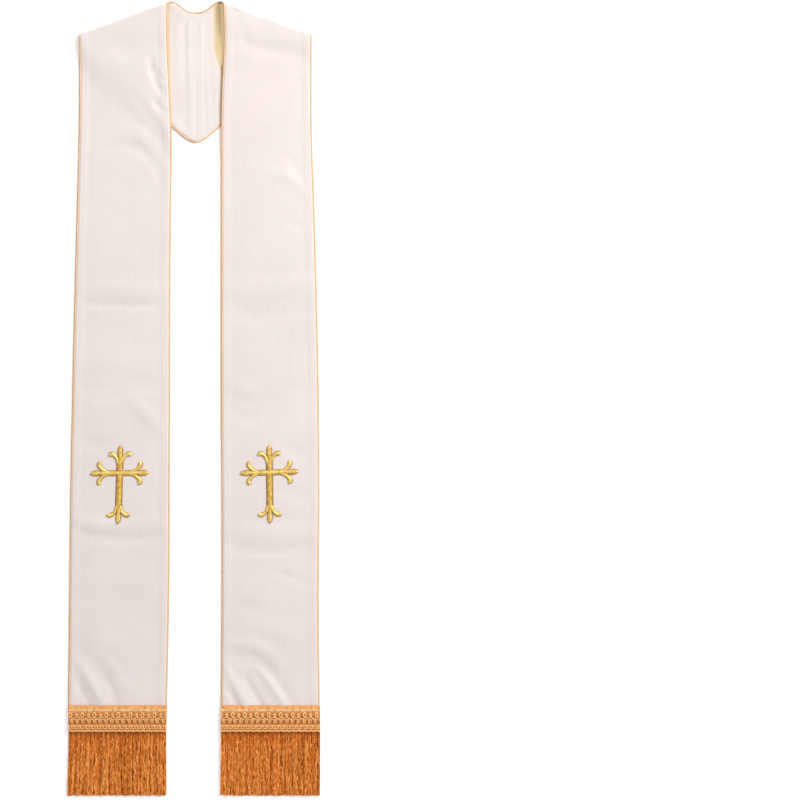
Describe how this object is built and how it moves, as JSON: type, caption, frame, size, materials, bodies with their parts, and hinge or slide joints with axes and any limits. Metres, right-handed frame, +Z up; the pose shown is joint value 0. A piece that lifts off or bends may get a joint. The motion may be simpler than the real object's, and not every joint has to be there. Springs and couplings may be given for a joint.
{
  "type": "clerical stole laid flat",
  "caption": "White clerical stole laid flat, with a pointed yoke folded underneath, gold piping, an embroidered cross on each front and a gold gimp heading and fringe at each end.",
  "frame": {"origin": "under the middle of the stole's box, on the surface that it lies on", "axes": "+X to the viewer's right, +Y up the stole from the fringe to the neck, +Z up from the surface, with the fronts' faces up"},
  "size_m": [0.3989, 1.2473, 0.0083],
  "materials": {
    "face_cloth": "fine white satin weave with a soft sheen",
    "lining_cloth": "plain white lining cloth",
    "piping": "pale gold covered cord",
    "heading": "gold gimp braid",
    "fringe": "glossy gold strands",
    "embroidery": "gold satin stitch"
  },
  "bodies": {
    "root": {"left_front_face": "face_cloth", "left_yoke_face": "face_cloth", "right_front_face": "face_cloth", "right_yoke_face": "face_cloth", "left_front_lining": "lining_cloth", "left_yoke_lining": "lining_cloth", "right_front_lining": "lining_cloth", "right_yoke_lining": "lining_cloth", "left_neck_piping": "piping", "right_neck_piping": "piping", "left_outer_piping": "piping", "right_outer_piping": "piping", "left_heading_front": "heading", "right_heading_front": "heading", "left_heading_back": "heading", "right_heading_back": "heading", "left_fringe": "fringe", "right_fringe": "fringe", "left_cross": "embroidery", "right_cross": "embroidery"}
  },
  "joints": []
}
